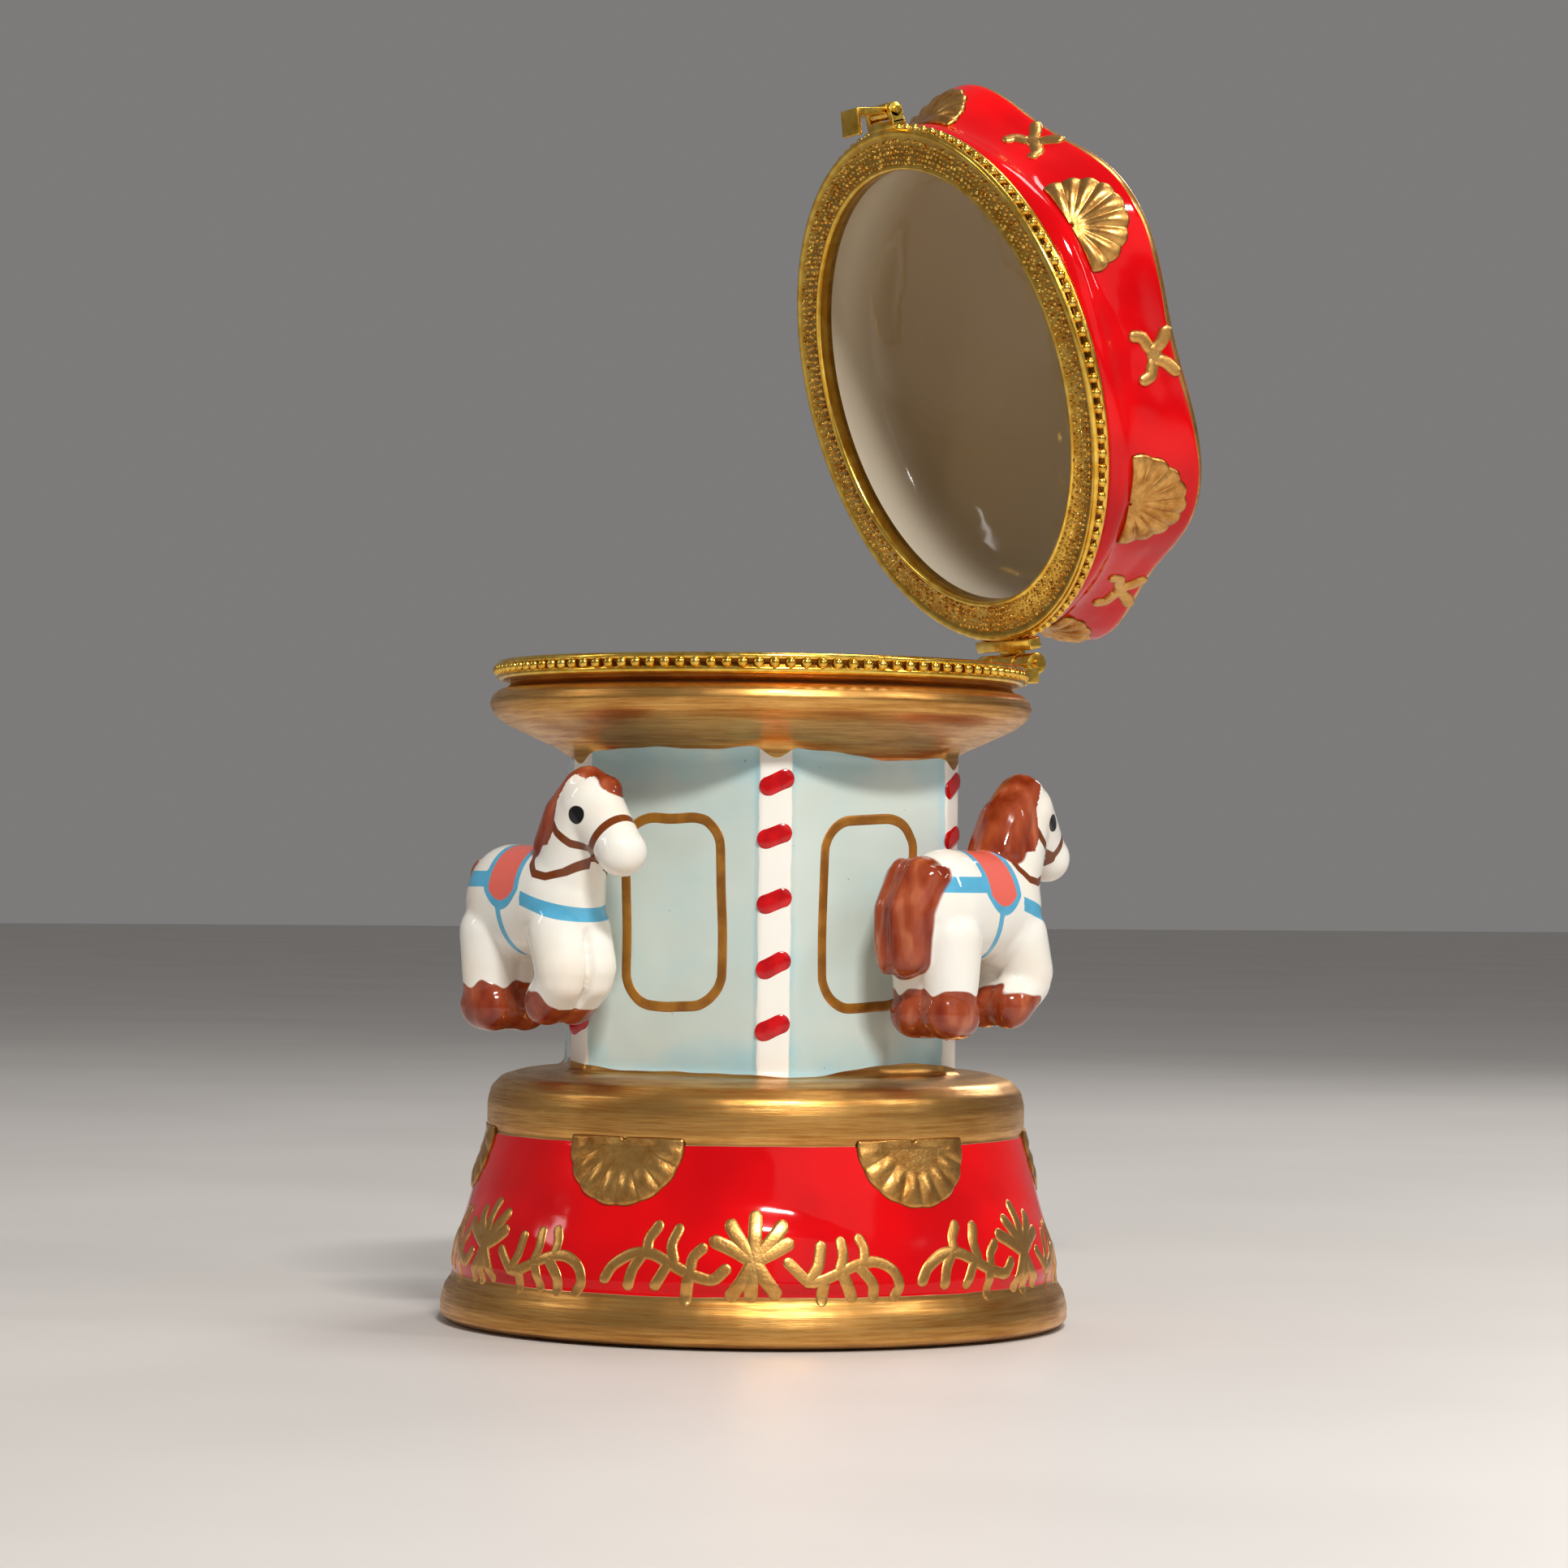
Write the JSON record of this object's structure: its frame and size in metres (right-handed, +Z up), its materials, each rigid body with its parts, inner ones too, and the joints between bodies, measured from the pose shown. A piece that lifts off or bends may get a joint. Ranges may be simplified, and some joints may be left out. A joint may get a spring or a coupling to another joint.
{
  "type": "carousel music box",
  "caption": "Porcelain carousel trinket box with a hinged scalloped roof lid, horses round a six-sided column, and a wound musical movement in its base.",
  "frame": {"origin": "centre of the foot, on the plane that the box stands on", "axes": "+Z up, +Y towards the lid's hinge, -Y towards the clasp, +X along the hinge pin; drawn with the lid open"},
  "size_m": [0.085, 0.1001, 0.1709],
  "materials": {
    "body_porcelain": "glossy glaze, red skirt, pale grey-blue panels and satin gold bands",
    "horse_porcelain": "glossy cream glaze with hand-painted brown mane, tail and hooves",
    "lid_porcelain": "glossy red glaze outside, cream inside",
    "gilt_brass": "bright gilt, beaded",
    "brass": "satin",
    "comb_steel": "ground",
    "screw_steel": "nickel plated",
    "arbor_steel": "turned",
    "spring_steel": "blued",
    "cast_zinc": "as cast, matt grey",
    "black_plastic": "fine matt",
    "white_plastic": "moulded"
  },
  "bodies": {
    "base": {"body_shell": "body_porcelain", "horse_1": "horse_porcelain", "horse_2": "horse_porcelain", "horse_3": "horse_porcelain", "lower_bezel": "gilt_brass", "hinge_lower_leaf": "gilt_brass", "hinge_pin": "gilt_brass", "base_cap": "black_plastic", "movement_bedplate": "cast_zinc", "comb": "comb_steel", "comb_screw_1": "screw_steel", "comb_screw_2": "screw_steel", "spring_housing": "brass", "mainspring": "spring_steel", "bearing_plate_left": "brass", "bearing_plate_right": "brass", "governor_frame": "brass", "governor_screw": "screw_steel", "movement_screw_1": "screw_steel", "movement_screw_2": "screw_steel", "movement_screw_3": "screw_steel"},
    "lid": {"lid_shell": "lid_porcelain", "upper_bezel": "gilt_brass", "hinge_upper_leaf": "gilt_brass", "clasp_lug": "gilt_brass", "clasp_pin": "gilt_brass"},
    "clasp": {"clasp_tongue": "gilt_brass"},
    "drum": {"tune_cylinder": "brass", "cylinder_pinion": "arbor_steel", "cylinder_gear": "brass", "cylinder_arbor": "arbor_steel"},
    "key": {"winding_key": "brass", "winding_arbor": "arbor_steel", "great_wheel": "brass"},
    "idler": {"idler_arbor": "arbor_steel", "idler_pinion": "arbor_steel", "worm_wheel": "white_plastic"},
    "fly": {"governor_worm": "arbor_steel", "air_brake": "white_plastic"}
  },
  "joints": [
    {"name": "lid_hinge", "type": "hinge", "parent": "base", "child": "lid", "pos_m": [0, 0.0401, 0.0901], "axis": [-1, 0, 0], "range_deg": [-73.6, 20]},
    {"name": "clasp_hinge", "type": "hinge", "parent": "lid", "child": "clasp", "pos_m": [0, 0.01828, 0.16603], "axis": [-1, 0, 0], "range_deg": [-10, 80]},
    {"name": "drum_spin", "type": "hinge", "parent": "base", "child": "drum", "pos_m": [0, 0.003, 0.0201], "axis": [1, 0, 0], "continuous": true},
    {"name": "key_spin", "type": "hinge", "parent": "base", "child": "key", "pos_m": [-0.0166, 0.003, 0], "axis": [0, 0, 1], "continuous": true},
    {"name": "idler_spin", "type": "hinge", "parent": "base", "child": "idler", "pos_m": [0, 0.0114, 0.0201], "axis": [1, 0, 0], "continuous": true},
    {"name": "fly_spin", "type": "hinge", "parent": "base", "child": "fly", "pos_m": [0.0185, 0.0165, 0], "axis": [0, 0, 1], "continuous": true}
  ],
  "couplings": [
    {"joint": "key_spin", "follows": "drum_spin", "ratio": 0.4},
    {"joint": "idler_spin", "follows": "drum_spin", "ratio": -3.2},
    {"joint": "fly_spin", "follows": "drum_spin", "ratio": 64}
  ]
}
